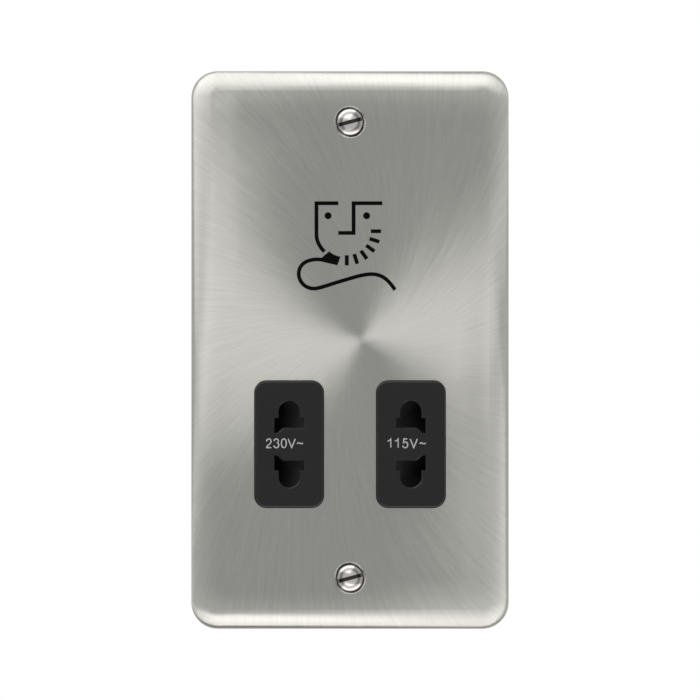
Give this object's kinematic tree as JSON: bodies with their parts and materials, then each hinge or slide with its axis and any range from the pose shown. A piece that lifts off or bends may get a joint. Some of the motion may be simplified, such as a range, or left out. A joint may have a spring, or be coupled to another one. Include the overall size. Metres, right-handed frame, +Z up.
{
  "type": "shaver socket",
  "caption": "Flush shaver socket: brushed metal plate with rolled edges, two black outlets with shuttered pin slots, two fixing screws and a stepped transformer case behind.",
  "frame": {"origin": "midway between the two fixing screws, on the wall surface", "axes": "+X right as seen from the front, +Y into the wall, +Z up"},
  "size_m": [0.084, 0.0431, 0.1476],
  "materials": {
    "brushed_plate": "satin, brushed from the middle outwards",
    "black_moulding": "smooth black moulding, semi-gloss",
    "black_case": "fine matt black",
    "shutter_plastic": "matt black",
    "spring_steel": "bright drawn wire",
    "carrier_plastic": "matt off-white",
    "contact_brass": "pressed strip",
    "zinc_steel": "zinc plated",
    "chromed_steel": "polished",
    "bush_brass": "turned",
    "core_steel": "varnished laminations",
    "bobbin_plastic": "natural nylon",
    "primary_coil": "copper wire under yellow tape",
    "secondary_coil": "copper wire under yellow tape",
    "tinned_tags": "tinned",
    "cutout_plastic": "matt black",
    "terminal_brass": "machined"
  },
  "bodies": {
    "housing": {"faceplate": "brushed_plate", "front_moulding": "black_moulding", "rear_case": "black_case", "shutter_spring_left": "spring_steel", "shutter_spring_right": "spring_steel", "contact_carrier": "carrier_plastic", "contact_left_upper": "contact_brass", "contact_left_lower": "contact_brass", "contact_right_upper": "contact_brass", "contact_right_lower": "contact_brass", "common_link": "contact_brass", "carrier_screw_upper": "zinc_steel", "carrier_screw_lower": "zinc_steel", "case_screw_upper_left": "zinc_steel", "case_screw_upper_right": "zinc_steel", "case_screw_lower_left": "zinc_steel", "case_screw_lower_right": "zinc_steel", "terminal_screw_live": "zinc_steel", "terminal_screw_earth": "zinc_steel", "terminal_screw_neutral": "zinc_steel", "earth_stud": "zinc_steel", "earth_nut": "zinc_steel", "fixing_screw_upper": "chromed_steel", "fixing_screw_lower": "chromed_steel", "plate_bush_upper_left": "bush_brass", "plate_bush_upper_right": "bush_brass", "plate_bush_lower_left": "bush_brass", "plate_bush_lower_right": "bush_brass", "transformer_core": "core_steel", "bobbin": "bobbin_plastic", "primary_winding": "primary_coil", "secondary_winding": "secondary_coil", "secondary_tag_1": "tinned_tags", "secondary_tag_2": "tinned_tags", "secondary_tag_3": "tinned_tags", "secondary_tag_4": "tinned_tags", "secondary_tag_5": "tinned_tags", "primary_tag_1": "tinned_tags", "primary_tag_2": "tinned_tags", "primary_tag_3": "tinned_tags", "earth_tag": "tinned_tags", "thermal_cutout": "cutout_plastic", "terminal_live": "terminal_brass", "terminal_earth": "terminal_brass", "terminal_neutral": "terminal_brass"},
    "shutter": {"shutter_slider": "shutter_plastic"}
  },
  "joints": [
    {"name": "shutter_slide", "type": "slide", "parent": "housing", "child": "shutter", "axis": [1, 0, 0], "range_m": [-0.008, 0.008], "stiffness_N_per_m": 300, "deforming": ["shutter_spring_left", "shutter_spring_right"]}
  ]
}
